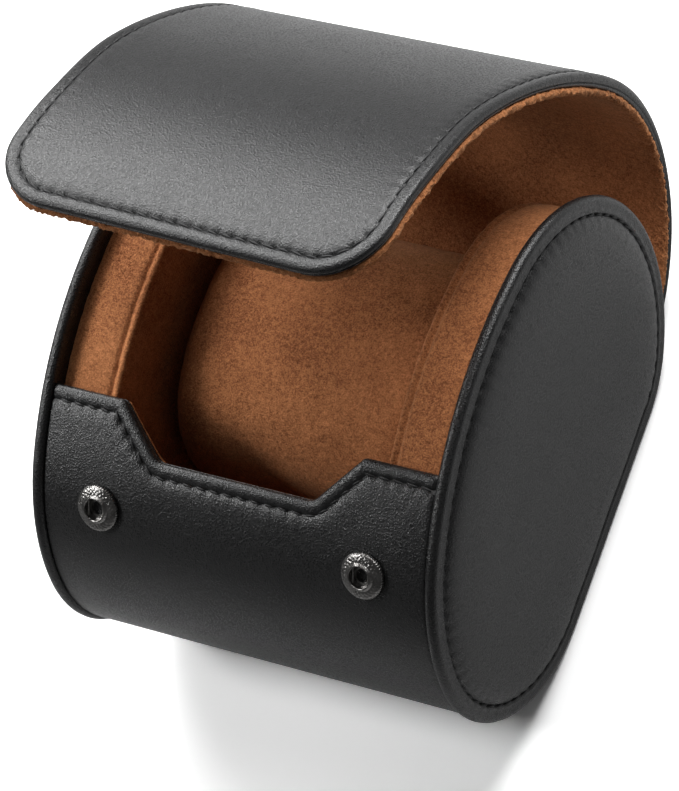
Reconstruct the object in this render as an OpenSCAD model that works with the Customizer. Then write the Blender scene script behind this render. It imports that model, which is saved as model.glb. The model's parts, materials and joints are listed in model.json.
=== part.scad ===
// Watch travel case: two padded cheeks joined by one leather strip that forms the front pocket, the base
// and the lid, with two snap fasteners and a removable watch pillow.
// Frame: millimetres, +X to the right, +Y to the back, +Z up, origin at the centre of the flat base.

/* [Case] */
// Width over the two side flanges
case_w = 98; // [92:1:112]
// Width of the space between the two inner cheek faces
inside_w = 64.8; // [58:0.2:68]
// Thickness of each side flange
flange_t = 2.8; // [2:0.1:3.4]
// Outward bulge of each padded cheek over its flange
cheek_bulge = 1.6; // [0.6:0.1:3]

/* [Side outline] */
// Length of the flat underside
base_flat = 46.3; // [42:0.1:50]
// Radius of the lower back corner
back_corner_r = 24.9; // [24:0.1:26]
// Radius of the upper back shoulder
back_top_r = 35.8; // [34:0.1:38]
// Radius of the upper front shoulder
front_top_r = 45.6; // [44:0.1:47]
// Radius of the lower front corner
front_corner_r = 30.4; // [29:0.1:31.5]

/* [Leather strip] */
// Step from the flange edge down to the strip
strip_recess = 0.8; // [0.4:0.1:1.2]
// Thickness of the leather skin
leather_t = 1.4; // [1:0.1:1.6]
// Thickness of the stiffening board in the pocket and base
pocket_board_t = 1.1; // [0.8:0.1:1.3]
// Thickness of the suede lining in the pocket and base
pocket_lining_t = 0.8; // [0.6:0.1:1]
// Thickness of the stiffening board in the lid
lid_board_t = 0.8; // [0.5:0.1:0.9]
// Thickness of the suede lining in the lid
lid_lining_t = 1.6; // [1.2:0.1:1.7]
// Width of the leather turned round each board's edge
turned_edge = 1.6; // [1.2:0.1:2.5]
// Gap between the lid's sides and the flanges
lid_side_gap = 1.2; // [0.9:0.1:1.6]
// How far the lid's suede stands out past its leather edge
lid_suede_reach = 0.5; // [0.2:0.1:0.6]
// Distance of each sewn seam from the leather's edge
seam_inset = 3.1; // [2.6:0.1:4]
// Width of the channel that a seam pulls into the leather
seam_w = 0.8; // [0.4:0.1:1]
// Depth of the channel that a seam pulls into the leather
seam_depth = 0.3; // [0.1:0.05:0.5]

/* [Pocket] */
// Direction of the pocket's top edge, as an angle of the outline's normal
pocket_edge_a = 107.4; // [104:0.2:110]
// Depth of the finger notch
notch_depth = 11; // [8:0.1:14]
// Width of the finger notch at its mouth
notch_mouth = 57.6; // [50:0.2:60]
// Width of the finger notch at its bottom
notch_bottom = 37.4; // [32:0.2:46]

/* [Lid] */
// Radius of the open lid's back bend
lid_back_r = 44; // [43:0.1:45]
// Length of the back bend
lid_back_len = 76.8; // [76:0.1:78]
// Radius of the open lid's long panel
lid_top_r = 96; // [92:1:98]
// Length of the long panel
lid_top_len = 70.4; // [69:0.1:71]
// Radius of the lid's front lip
lid_lip_r = 72; // [68:1:78]
// Length of the front lip
lid_lip_len = 29.2; // [28:0.1:30]
// Radius of the lid's front corners
lid_corner_r = 14; // [6:0.5:18]

/* [Snaps] */
// Distance between the two snaps
snap_pitch = 64; // [56:1:68]
// Diameter of a snap socket
socket_d = 9.9; // [9:0.1:11]
// Height of a snap socket over the leather
socket_h = 2; // [1.6:0.1:2.2]
// Diameter of the hole in a snap socket
socket_bore = 4.6; // [4.4:0.1:5]
// Number of ribs round a snap socket's rim
socket_ribs = 36; // [24:2:48]
// Diameter of the stud's head
stud_head_d = 2.6; // [2.4:0.1:2.8]
// Length of the stud below the lining
stud_len = 3; // [2.6:0.1:3.2]

/* [Pillow] */
// Depth of the pillow, front to back
pillow_depth = 62; // [56:1:64]
// Height of the pillow
pillow_h = 56; // [50:1:58]
// Distance of the pillow's centre behind the case's centre
pillow_y = 9; // [8:0.5:12]
// Rounding of the pillow's two ends
pillow_end_r = 5; // [4:0.5:10]
// Gap between the pillow and what is round it
pillow_gap = 0.4; // [0.3:0.1:1]
// Thickness of the pillow's suede cover
pillow_cover_t = 1.2; // [0.8:0.1:2]

/* [Hidden] */

leather_colour = "#2b2b2c";
suede_colour = "#8a5636";
metal_colour = "#8d8986";
board_colour = "#6f655a";
foam_colour = "#c9c2b4";

// Fits and small fixed sizes
touch = 0.1;          // gap between pieces glued face to face
slack = 0.3;          // gap between pieces that move past each other
seat = 0.2;           // room under a flat disc that sits on curved leather
round_fn = 48;
through = 8;          // length of a drill that goes right through the strip
step_deg = 5;         // turn between two points of an outline
step_len = 3;         // length between two points of the lid's curve

half_w = case_w / 2;
inner_x = inside_w / 2;
flange_x = half_w - flange_t;
pocket_t = leather_t + pocket_board_t + pocket_lining_t;
lid_t = leather_t + lid_board_t + lid_lining_t;
strip_half = flange_x - touch;
lid_half = flange_x - lid_side_gap;
suede_t = 1;

// ---------- outline of the cheeks: six tangent arcs over a flat base ----------
function unit(a) = [cos(a), sin(a)];
function cross2(p, q) = p[0] * q[1] - p[1] * q[0];
function between(a, b, step) =
    let (n = max(1, ceil(abs(b - a) / step)))
    [for (i = [0:n]) a + (b - a) * i / n];
function reversed(list) = [for (i = [len(list) - 1:-1:0]) list[i]];

// Normal angles at which one arc passes into the next
arc_ends = [-56.8, 5, 76.1, 119, 159];
first_centre = [base_flat / 2, back_corner_r];
last_centre = [-base_flat / 2, front_corner_r];
joint_dirs = [for (a = arc_ends) unit(a)];
// The back side's and the top's radii follow from the outline having to close
closing = last_centre - first_centre - back_corner_r * joint_dirs[0]
    + back_top_r * (joint_dirs[1] - joint_dirs[2]) + front_top_r * joint_dirs[3]
    - (front_top_r - front_corner_r) * joint_dirs[4];
side_way = joint_dirs[1] - joint_dirs[0];
top_way = joint_dirs[3] - joint_dirs[2];
back_side_r = cross2(closing, top_way) / cross2(side_way, top_way);
top_r = cross2(side_way, closing) / cross2(side_way, top_way);
arc_radii = [back_corner_r, back_side_r, back_top_r, top_r, front_top_r, front_corner_r];

function arcCentre(i) = i == 0 ? first_centre
    : arcCentre(i - 1) + (arc_radii[i - 1] - arc_radii[i]) * joint_dirs[i - 1];
arc_centres = [for (i = [0:5]) arcCentre(i)];
function arcOf(a) = len([for (e = arc_ends) if (a > e) e]);
function onOutline(a, depth) = arc_centres[arcOf(a)] + (arc_radii[arcOf(a)] - depth) * unit(a);
function outline(depth) = [for (a = between(-90, 270, step_deg)) onOutline(a, depth)];

// ---------- strip: recessed on the curved sides, level with the flanges on the base ----------
recess_run = 60;
function recessAt(a) = strip_recess * min(1, (180 - abs(a - 90)) / recess_run);
function onStrip(a, depth) = onOutline(a, recessAt(a) + depth);
gusset_depth = pocket_t + touch;
function gussetOutline(depth) = [for (a = between(-90, 270, step_deg)) onStrip(a, gusset_depth + depth)];

// ---------- lid: three tangent arcs, drawn open ----------
lid_start = [35.5, 0.95];
lid_heading = 4.4;
lid_len = lid_back_len + lid_top_len + lid_lip_len;
bend_rs = [lid_back_r, lid_top_r, lid_lip_r];
bend_starts = [0, lid_back_len, lid_back_len + lid_top_len];
function degrees(len, r) = len / r * 180 / PI;
function bendOf(s) = s > bend_starts[2] ? 2 : s > bend_starts[1] ? 1 : 0;
function bendHeading(i) = i == 0 ? lid_heading
    : bendHeading(i - 1) + degrees(bend_starts[i] - bend_starts[i - 1], bend_rs[i - 1]);
function outward(h) = [sin(h), -cos(h)];
function bendCentre(i) = i == 0 ? lid_start - lid_back_r * outward(lid_heading)
    : bendCentre(i - 1) + (bend_rs[i - 1] - bend_rs[i]) * outward(bendHeading(i));
function lidHeading(s) = bendHeading(bendOf(s)) + degrees(s - bend_starts[bendOf(s)], bend_rs[bendOf(s)]);
function onLid(s, depth) = bendCentre(bendOf(s)) + (bend_rs[bendOf(s)] - depth) * outward(lidHeading(s));
function lidPath(from, to, depth) = [for (s = between(from, to, step_len)) onLid(s, depth)];

// Hinge line at the base's back edge and flex line across the lid
hinge_y = 38;
hinge_half = 4;
flex_s = 78;
flex_half = 4;
base_back = hinge_y - hinge_half;
lid_from = hinge_half + 2;

// ---------- snaps ----------
snap_a = 128.2;
stud_s = 164.9;
snap_x = snap_pitch / 2;
flange_h = 0.7;
post_r = 2;
post_wall = 0.5;
post_flange_r = 3.4;
spring_r = 0.15;
spring_gap = stud_head_d / 2 + slack + spring_r;
spring_z = 1.2;
stud_base_r = 4.3;
stud_base_h = 0.7;
stud_neck_r = 0.95;
anchor_r = 0.5;
rib_depth = 0.14;

// ---------- pillow ----------
pillow_half = inner_x - pillow_gap;
pillow_floor = pocket_t + pillow_gap;
pillow_z = pillow_floor + pillow_h / 2;
pillow_power = 2.4;

// Places a flat shape, drawn in Y and Z, upright and as wide as given along X
module across(from, to) {
    translate([from, 0, 0]) rotate([90, 0, 90]) linear_extrude(height = to - from) children();
}

// Draws its children on the right and, mirrored, on the left
module bothSides() {
    children();
    mirror([1, 0, 0]) children();
}

module leftSide() {
    mirror([1, 0, 0]) children();
}

// ---------- cheeks ----------
face_inset = 5;
face_x0 = flange_x + 0.6;
board_x = [flange_x - 1.8, flange_x - 0.4];
face_skin = 1.1;
dome_insets = [0, 1, 3, 7, 13];
function domeX(inset) = half_w - 0.5 + (cheek_bulge + 0.5) * (1 - pow(1 - inset / 13, 2.4));

function ring(points, x) = [for (p = points) [x, p[0], p[1]]];

// Closed solid through rings of equally many points, each ring further along X than the last
module loft(rings) {
    n = len(rings[0]);
    last = len(rings) - 1;
    sides = [for (k = [0:last - 1], i = [0:n - 1])
        let (a = k * n + i, b = k * n + (i + 1) % n)
        each [[a, a + n, b], [b, a + n, b + n]]];
    polyhedron(
        points = [for (r = rings, p = r) p],
        faces = concat([[for (i = [0:n - 1]) i]], sides, [[for (i = [n - 1:-1:0]) last * n + i]]),
        convexity = 4
    );
}

// Padded face, domed over the flange; start is where its flat back lies
module domed(skin, start) {
    inset = face_inset + touch + skin;
    loft(concat(
        [ring(outline(inset), start)],
        [for (e = dome_insets) ring(outline(inset + e), domeX(e) - skin)]
    ));
}

module face() {
    color(leather_colour) difference() {
        domed(0, face_x0);
        domed(face_skin, face_x0 - 1);
    }
}

module facePad() {
    color(foam_colour) domed(face_skin + touch, face_x0);
}

module board() {
    color(board_colour) across(board_x[0], board_x[1]) polygon(gussetOutline(suede_t + touch));
}

module rim() {
    crest = flange_t / 2;
    color(leather_colour) difference() {
        loft([for (a = between(0, 180, 22.5))
            ring(outline(0.6 * crest * (1 - sin(a))), flange_x + crest - crest * cos(a))]);
        across(flange_x - 1, half_w + 1) polygon(outline(face_inset));
    }
}

// Suede band with the seam that joins it to the inner face
module gusset() {
    seam_x = inner_x + suede_t + 0.8;
    color(suede_colour) difference() {
        across(inner_x + suede_t, flange_x - touch / 2) difference() {
            polygon(gussetOutline(0));
            polygon(gussetOutline(suede_t));
        }
        across(seam_x, seam_x + seam_w) difference() {
            polygon(gussetOutline(-1));
            polygon(gussetOutline(seam_depth));
        }
    }
}

module core() {
    color(foam_colour) across(inner_x + suede_t + touch, board_x[0] - touch)
        polygon(gussetOutline(suede_t + touch));
}

module inner() {
    color(suede_colour) across(inner_x, inner_x + suede_t) polygon(gussetOutline(0));
}

// ---------- strip over the pocket and base ----------
pocket_from = pocket_edge_a - 3;
function stripBand(from_d, to_d, back) = concat(
    [for (a = between(pocket_from, 270, step_deg)) onStrip(a, from_d)],
    [[back, from_d], [back, to_d]],
    [for (a = between(270, pocket_from, step_deg)) onStrip(a, to_d)]
);

// Rounds corner q of the path p, q, s
function cornerArc(p, q, s, r) =
    let (u = (p - q) / norm(p - q), v = (s - q) / norm(s - q), half = acos(u * v) / 2,
         mid = (u + v) / norm(u + v), c = q + mid * r / sin(half), facing = q - c,
         middle = atan2(facing[1], facing[0]), turn = sign(cross2(q - p, s - q)) * (90 - half))
    [for (i = [-4:4]) c + r * unit(middle + turn * i / 4)];

tab_r = 1.2;
notch_top_r = 1.8;
notch_low_r = 3.5;
cut_reach = 12;       // reach of the flat cut above the edge and to both sides of the strip

// Path of the pocket's top edge with its notch, x against the distance down from the edge.
// The edge ends in rounded corners at the strip's sides, or runs straight on past them by run
function pocketEdge(inset, run) =
    let (mouth = notch_mouth / 2 + inset * 0.8, low = notch_bottom / 2 + inset * 0.8,
         edge = inset, deep = notch_depth + inset, side = strip_half - inset + run,
         far = half_w + run, foot = deep + 2 * tab_r)
    concat(
        [[-far, -cut_reach], [-far, foot], [-side, foot]],
        cornerArc([-side, deep], [-side, edge], [-mouth, edge], tab_r),
        cornerArc([-side, edge], [-mouth, edge], [-low, deep], notch_top_r),
        cornerArc([-mouth, edge], [-low, deep], [low, deep], notch_low_r),
        cornerArc([-low, deep], [low, deep], [mouth, edge], notch_low_r),
        cornerArc([low, deep], [mouth, edge], [side, edge], notch_top_r),
        cornerArc([mouth, edge], [side, edge], [side, deep], tab_r),
        [[side, foot], [far, foot], [far, -cut_reach]]
    );

module pocketCut(inset, run = 0) {
    at = onStrip(pocket_edge_a, 0);
    lean = pocket_edge_a + degrees(notch_depth / 2, top_r);
    translate([0, at[0], at[1]]) rotate([lean + 90, 0, 0])
        linear_extrude(height = 2 * cut_reach, center = true) polygon(pocketEdge(inset, run));
}

module pocketBand(from_d, to_d, inset, back) {
    difference() {
        across(-strip_half + inset, strip_half - inset) polygon(stripBand(from_d, to_d, back));
        pocketCut(inset);
    }
}

// Children stand on the leather at the middle of the right snap
module atSocket() {
    at = onStrip(snap_a, 0);
    translate([snap_x, at[0], at[1]]) rotate([snap_a - 90, 0, 0]) children();
}

// Shallow channel along the seam under the pocket's top edge, from flange to flange
module pocketSeam() {
    run = 2 * seam_inset;
    difference() {
        across(-half_w, half_w) polygon(stripBand(-1, seam_depth, base_flat / 2));
        pocketCut(seam_inset - seam_w / 2, run);
        difference() {
            across(-half_w - 1, half_w + 1) polygon(stripBand(-2, leather_t, base_flat / 2 + 1));
            pocketCut(seam_inset + seam_w / 2, run);
        }
    }
}

module pocketLeather() {
    color(leather_colour) difference() {
        pocketBand(0, leather_t + pocket_board_t, 0, base_back);
        pocketSeam();
        pocketBand(leather_t, leather_t + pocket_board_t + 1, turned_edge, base_back + 1);
        bothSides() atSocket() cylinder(h = through, r = post_r + touch / 2, center = true, $fn = round_fn);
    }
}

module pocketBoard() {
    color(board_colour) difference() {
        pocketBand(leather_t, leather_t + pocket_board_t, turned_edge + touch, base_back);
        bothSides() atSocket() cylinder(h = through, r = post_flange_r + touch, center = true, $fn = round_fn);
    }
}

module pocketLining() {
    color(suede_colour) pocketBand(leather_t + pocket_board_t, pocket_t, 0.4, base_back);
}

// ---------- snaps ----------
function ribbed(r, ribs) = [for (i = [0:2 * ribs - 1]) (r - (i % 2) * rib_depth) * unit(180 * i / ribs)];

module socket() {
    r = socket_d / 2;
    bore = socket_bore / 2;
    groove = bore + 0.35;
    floor_h = 0.5;
    dome_r = r - 2 * rib_depth;
    bead_h = socket_h - 0.3;
    color(metal_colour) atSocket() {
        rotate_extrude($fn = round_fn) polygon([
            [post_r + touch / 2, 0], [dome_r, 0], [dome_r, flange_h], [dome_r - 0.3, flange_h + 0.3],
            [dome_r - 1.2, bead_h - 0.2], [bore + 0.5, bead_h], [bore + 0.4, socket_h],
            [bore + 0.15, socket_h], [bore, socket_h - 0.15], [bore, spring_z + 0.3],
            [groove, spring_z + 0.3], [groove, spring_z - 0.3], [bore, spring_z - 0.3],
            [bore, floor_h], [post_r + touch / 2, floor_h]
        ]);
        linear_extrude(height = flange_h) difference() {
            polygon(ribbed(r, socket_ribs));
            circle(r = dome_r - 0.2, $fn = round_fn);
        }
    }
}

module socketSprings() {
    reach = sqrt(pow(socket_bore / 2 + 0.3, 2) - pow(spring_gap + spring_r, 2));
    color("#b9b6b0") bothSides() atSocket() for (side = [-1, 1])
        translate([side * spring_gap, 0, spring_z]) rotate([90, 0, 0])
            cylinder(h = 2 * reach, r = spring_r, center = true, $fn = 16);
}

module socketPosts() {
    top = 0.45;
    low = -leather_t - pocket_board_t;
    color("#b9b6b0") bothSides() atSocket() rotate_extrude($fn = round_fn) polygon([
        [post_r - post_wall, low], [post_flange_r, low], [post_flange_r, -leather_t - seat],
        [post_r, -leather_t - seat], [post_r, top], [post_r - post_wall, top]
    ]);
}

// ---------- lid ----------
function lidBand(from, to, from_d, to_d) =
    concat(lidPath(from, to, from_d), reversed(lidPath(from, to, to_d)));

// Plan of the lid's front end, x against the distance back from the front edge
function lidPlan(inset) =
    let (w = lid_half - inset, r = lid_corner_r - inset, far = lid_len)
    concat([[-w, far]], cornerArc([-w, far], [-w, inset], [w, inset], r),
           cornerArc([-w, inset], [w, inset], [w, far], r), [[w, far]]);

module lidFrontBand(from_d, to_d, inset) {
    at = onLid(lid_len, 0);
    from = flex_s + flex_half;
    intersection() {
        across(-half_w, half_w) polygon(lidBand(from, lid_len + 3, from_d, to_d));
        translate([0, at[0], at[1]]) rotate([lidHeading(lid_len) + 180, 0, 0])
            translate([0, 0, -lid_len / 2]) linear_extrude(height = lid_len) polygon(lidPlan(inset));
    }
}

lid_skin = leather_t + lid_board_t;
lid_suede_half = lid_half + lid_suede_reach;

// Straight run of the seam's channel along both sides of a leather panel
module sideSeams(from, to) {
    bothSides() across(lid_half - seam_inset - seam_w / 2, lid_half - seam_inset + seam_w / 2)
        polygon(lidBand(from, to, -1, seam_depth));
}

module lidBackLeather() {
    to = flex_s - flex_half;
    color(leather_colour) difference() {
        across(-lid_half, lid_half) polygon(lidBand(lid_from, to, 0, lid_skin));
        across(-lid_half + turned_edge, lid_half - turned_edge)
            polygon(lidBand(lid_from - 1, to + 1, leather_t, lid_skin + 1));
        sideSeams(lid_from - 1, to + 1);
    }
}

module lidBackBoard() {
    edge = lid_half - turned_edge - touch;
    color(board_colour) across(-edge, edge)
        polygon(lidBand(lid_from, flex_s - flex_half, leather_t + touch / 2, lid_skin));
}

module lidBackLining() {
    color(suede_colour) across(-lid_suede_half, lid_suede_half)
        polygon(lidBand(lid_from, flex_s - flex_half, lid_skin, lid_t));
}

// Children stand on the lid's lining at the middle of the right stud, Z away from the lid
module atStud() {
    at = onLid(stud_s, lid_t);
    translate([snap_x, at[0], at[1]]) rotate([lidHeading(stud_s), 0, 0]) children();
}

module lidFrontLeather() {
    color(leather_colour) difference() {
        lidFrontBand(0, lid_skin, 0);
        lidFrontBand(leather_t, lid_skin + 1, turned_edge);
        difference() {
            lidFrontBand(-1, seam_depth, seam_inset - seam_w / 2);
            lidFrontBand(-2, leather_t, seam_inset + seam_w / 2);
        }
    }
}

module lidFrontBoard() {
    color(board_colour) difference() {
        lidFrontBand(leather_t, lid_skin, turned_edge + touch);
        bothSides() atStud() cylinder(h = through, r = post_flange_r + touch, center = true, $fn = round_fn);
    }
}

module lidFrontLining() {
    color(suede_colour) difference() {
        lidFrontBand(lid_skin, lid_t, -lid_suede_reach);
        bothSides() atStud() {
            cylinder(h = through, r = anchor_r + touch / 2, center = true, $fn = round_fn);
            translate([0, 0, -touch / 2]) cylinder(h = through, r = stud_base_r + touch, $fn = round_fn);
        }
    }
}

module stud() {
    head = stud_head_d / 2;
    color(metal_colour) atStud() rotate_extrude($fn = round_fn) polygon([
        [anchor_r + touch / 2, 0], [stud_base_r, 0], [stud_base_r - 0.3, stud_base_h], [stud_neck_r, stud_base_h],
        [stud_neck_r, stud_len - 1.4], [head, stud_len - 0.9], [head, stud_len - 0.6],
        [head - 0.6, stud_len], [anchor_r + touch / 2, stud_len]
    ]);
}

module studAnchors() {
    color("#b9b6b0") bothSides() atStud() {
        translate([0, 0, -lid_lining_t - lid_board_t + seat])
            cylinder(h = lid_board_t - seat - touch, r = post_flange_r, $fn = round_fn);
        translate([0, 0, -lid_lining_t - 2 * touch])
            cylinder(h = lid_lining_t + stud_len - touch, r = anchor_r, $fn = round_fn);
    }
}

// ---------- bending stretches ----------
// Closed band between the straight base and the lid's start, over two depths at each end
function hingeBand(base_d, lid_d) = concat(
    [[base_back, base_d[0]]],
    lidPath(lid_from - 3, lid_from, lid_d[0]),
    reversed(lidPath(lid_from - 3, lid_from, lid_d[1])),
    [[base_back, base_d[1]]]
);

module hingeLeather() {
    color(leather_colour) across(-lid_half, lid_half)
        polygon(hingeBand([0, leather_t], [0, leather_t]));
}

module hingeLining() {
    color(suede_colour) across(-lid_half, lid_half)
        polygon(hingeBand([leather_t, pocket_t], [leather_t, lid_t]));
}

module flexLeather() {
    color(leather_colour) difference() {
        across(-lid_half, lid_half) polygon(lidBand(flex_s - flex_half, flex_s + flex_half, 0, leather_t));
        sideSeams(flex_s - flex_half - 1, flex_s + flex_half + 1);
    }
}

module flexLining() {
    color(suede_colour) across(-lid_suede_half, lid_suede_half)
        polygon(lidBand(flex_s - flex_half, flex_s + flex_half, leather_t, lid_t));
}

// ---------- pillow ----------
function signedPow(v, p) = sign(v) * pow(abs(v), p);
function pillowSection(inset) = [for (a = [0:7.5:352.5]) [
    pillow_y + (pillow_depth / 2 - inset) * signedPow(cos(a), 2 / pillow_power),
    pillow_z + (pillow_h / 2 - inset) * signedPow(sin(a), 2 / pillow_power)
]];

module pillowBody(shrink) {
    loft([for (a = between(-90, 90, 15))
        ring(pillowSection(shrink + pillow_end_r * (1 - cos(a))),
             sign(a) * (pillow_half - shrink - pillow_end_r * (1 - abs(sin(a)))))]);
}

module pillowCover() {
    color(suede_colour) difference() {
        pillowBody(0);
        pillowBody(pillow_cover_t);
    }
}

module pillowCore() {
    color(foam_colour) pillowBody(pillow_cover_t + touch);
}

face();  // right_face
facePad();  // right_face_pad
board();  // right_board
rim();  // right_rim
gusset();  // right_gusset
core();  // right_core
inner();  // right_inner
leftSide() face();  // left_face
leftSide() facePad();  // left_face_pad
leftSide() board();  // left_board
leftSide() rim();  // left_rim
leftSide() gusset();  // left_gusset
leftSide() core();  // left_core
leftSide() inner();  // left_inner
pocketLeather();  // pocket_leather
pocketBoard();  // pocket_board
pocketLining();  // pocket_lining
socket();  // right_socket
leftSide() socket();  // left_socket
socketSprings();  // socket_springs
socketPosts();  // socket_posts
hingeLeather();  // hinge_leather
hingeLining();  // hinge_lining
lidBackLeather();  // lid_back_leather
lidBackBoard();  // lid_back_board
lidBackLining();  // lid_back_lining
flexLeather();  // flex_leather
flexLining();  // flex_lining
lidFrontLeather();  // lid_front_leather
lidFrontBoard();  // lid_front_board
lidFrontLining();  // lid_front_lining
stud();  // right_stud
leftSide() stud();  // left_stud
studAnchors();  // stud_anchors
pillowCover();  // pillow_cover
pillowCore();  // pillow_core
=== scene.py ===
import json
import math

import bmesh
import bpy
from mathutils import Matrix, Vector, noise

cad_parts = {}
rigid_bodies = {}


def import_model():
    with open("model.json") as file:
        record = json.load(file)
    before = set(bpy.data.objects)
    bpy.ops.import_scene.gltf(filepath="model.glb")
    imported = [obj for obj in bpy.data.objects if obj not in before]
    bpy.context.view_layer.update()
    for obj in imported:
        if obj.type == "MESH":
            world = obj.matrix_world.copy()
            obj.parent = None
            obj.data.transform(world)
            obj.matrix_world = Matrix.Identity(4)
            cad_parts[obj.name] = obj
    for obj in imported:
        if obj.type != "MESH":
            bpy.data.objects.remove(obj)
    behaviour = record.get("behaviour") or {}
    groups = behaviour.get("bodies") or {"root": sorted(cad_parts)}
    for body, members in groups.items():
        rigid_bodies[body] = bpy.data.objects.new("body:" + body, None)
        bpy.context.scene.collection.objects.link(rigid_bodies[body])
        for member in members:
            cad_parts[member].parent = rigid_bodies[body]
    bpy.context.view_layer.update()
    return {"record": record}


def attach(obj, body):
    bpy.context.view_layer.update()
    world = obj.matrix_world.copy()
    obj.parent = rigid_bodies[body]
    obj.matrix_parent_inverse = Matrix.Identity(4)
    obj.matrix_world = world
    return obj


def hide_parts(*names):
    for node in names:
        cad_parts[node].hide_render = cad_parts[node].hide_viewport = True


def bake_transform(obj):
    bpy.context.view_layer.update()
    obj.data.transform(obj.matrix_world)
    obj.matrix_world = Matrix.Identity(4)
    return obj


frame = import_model()

# Vector noise has a random offset of its own, so a seed makes the napped edges the same on every run
noiseSeed = 11
noise.seed_set(noiseSeed)

# Sizes in metres and degrees, on the frame's own axes: X across, Y to the back, Z up
case = {
    "halfWidth": 0.049,
    "insideHalf": 0.0324,
    "flange": 0.0028,
    "baseFlat": 0.0463,
    "backCornerR": 0.0249,
    "backTopR": 0.0358,
    "frontTopR": 0.0456,
    "frontCornerR": 0.0304,
    "arcEnds": (-56.8, 5, 76.1, 119, 159),
    "recess": 0.0008,
    "recessRun": 60,
    "stripHalf": 0.0461,
}
lid = {
    "start": (0.0355, 0.00095),
    "heading": 4.4,
    "bends": ((0.044, 0.0768), (0.096, 0.0704), (0.072, 0.0292)),
    "half": 0.045,
    "cornerR": 0.014,
    "skin": 0.0022,
    "lining": 0.0016,
    "liningProud": 0.0003,
    "fuzz": 0.0004,
    # the soft lid leans to the right, reaches further at its right corner and fills out over the bend;
    # each run is where along the lid, from its hinge, the change begins and ends
    "leanBack": 0.0004,
    "leanBackRun": (0.055, 0.1),
    "leanFront": 0.0014,
    "leanFrontRun": (0.126, 0.15),
    "reachLeft": 0.0015,
    "reachRight": 0.004,
    "reachFrom": 0.12,
    "reachRun": 0.056,
    "fullness": 0.0008,
    "riseRun": (0.035, 0.068),
    "fallRun": (0.082, 0.115),
}
path = {"startAngle": 98, "endAngle": 270, "step": 0.001, "baseSteps": 56, "lidFrom": 0.009,
        "lidSteps": 182, "softened": 0.0025}
flex = {"at": 0.078, "reach": 0.02}


# Side outline of the cheeks and the path of the strip
def unit(angle):
    return Vector((math.cos(math.radians(angle)), math.sin(math.radians(angle))))


def crossOf(p, q):
    return p[0] * q[1] - p[1] * q[0]


def closeOutline():
    ways = [unit(a) for a in case["arcEnds"]]
    r1, r3, r5, r6 = (case[k] for k in ("backCornerR", "backTopR", "frontTopR", "frontCornerR"))
    first = Vector((case["baseFlat"] / 2, r1))
    last = Vector((-case["baseFlat"] / 2, r6))
    gap = last - first - r1 * ways[0] + r3 * (ways[1] - ways[2]) + r5 * ways[3] - (r5 - r6) * ways[4]
    sideWay = ways[1] - ways[0]
    topWay = ways[3] - ways[2]
    r2 = crossOf(gap, topWay) / crossOf(sideWay, topWay)
    r4 = crossOf(sideWay, gap) / crossOf(sideWay, topWay)
    radii = [r1, r2, r3, r4, r5, r6]
    centres = [first]
    for i in range(5):
        centres.append(centres[-1] + (radii[i] - radii[i + 1]) * ways[i])
    return radii, centres


arcRadii, arcCentres = closeOutline()


def outlinePoint(angle, depth=0.0):
    i = sum(angle > end for end in case["arcEnds"])
    return arcCentres[i] + (arcRadii[i] - depth) * unit(angle)


def recessAt(angle):
    return case["recess"] * min(1, (180 - abs(angle - 90)) / case["recessRun"])


def outlineLoop(depth, x, count=180, strip=False):
    loop = []
    for k in range(count):
        angle = -90 + 360 * k / count
        p = outlinePoint(angle, depth + (recessAt(angle) if strip else 0))
        loop.append(Vector((x, p[0], p[1])))
    # the flat underside gets its own share of points
    flat = [Vector((x, case["baseFlat"] * (k / 12 - 0.5), loop[0][2])) for k in range(1, 12)]
    return loop + flat


def lidPoint(s):
    centre = Vector(lid["start"])
    heading = math.radians(lid["heading"])
    for radius, length in lid["bends"]:
        centre = centre + radius * Vector((-math.sin(heading), math.cos(heading)))
        turn = min(s, length) / radius
        heading += turn
        place = centre + radius * Vector((math.sin(heading), -math.cos(heading)))
        s -= length
        if s <= 0:
            return place
        centre = place
    return place + s * Vector((math.cos(heading), math.sin(heading)))


def buildPath():
    # down the pocket in half degrees, along the flat base, and up the lid
    halves = range(2 * path["startAngle"], 2 * path["endAngle"] + 1)
    step = path["step"]
    points = [outlinePoint(a / 2, recessAt(a / 2)) for a in halves]
    points += [Vector((-case["baseFlat"] / 2 + k * step, 0)) for k in range(1, path["baseSteps"] + 1)]
    points += [lidPoint(path["lidFrom"] + k * step) for k in range(path["lidSteps"])]
    lengths = [0.0]
    for a, b in zip(points, points[1:]):
        lengths.append(lengths[-1] + (b - a).length)
    return points, lengths


pathPoints, pathLengths = buildPath()


def rawPath(s):
    low, high = 0, len(pathLengths) - 1
    while high - low > 1:
        mid = (low + high) // 2
        if pathLengths[mid] > s:
            high = mid
        else:
            low = mid
    t = (s - pathLengths[low]) / (pathLengths[high] - pathLengths[low])
    return pathPoints[low].lerp(pathPoints[high], t)


def pathAt(s):
    # point on the path and its outward normal
    ahead, behind = rawPath(s + path["softened"]), rawPath(s - path["softened"])
    place = (ahead + behind + 2 * rawPath(s)) / 4
    way = (ahead - behind).normalized()
    return place, Vector((way[1], -way[0]))


def nearestS(point):
    best = min(range(len(pathPoints)), key=lambda i: (pathPoints[i] - Vector(point)).length)
    return pathLengths[best]


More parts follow.
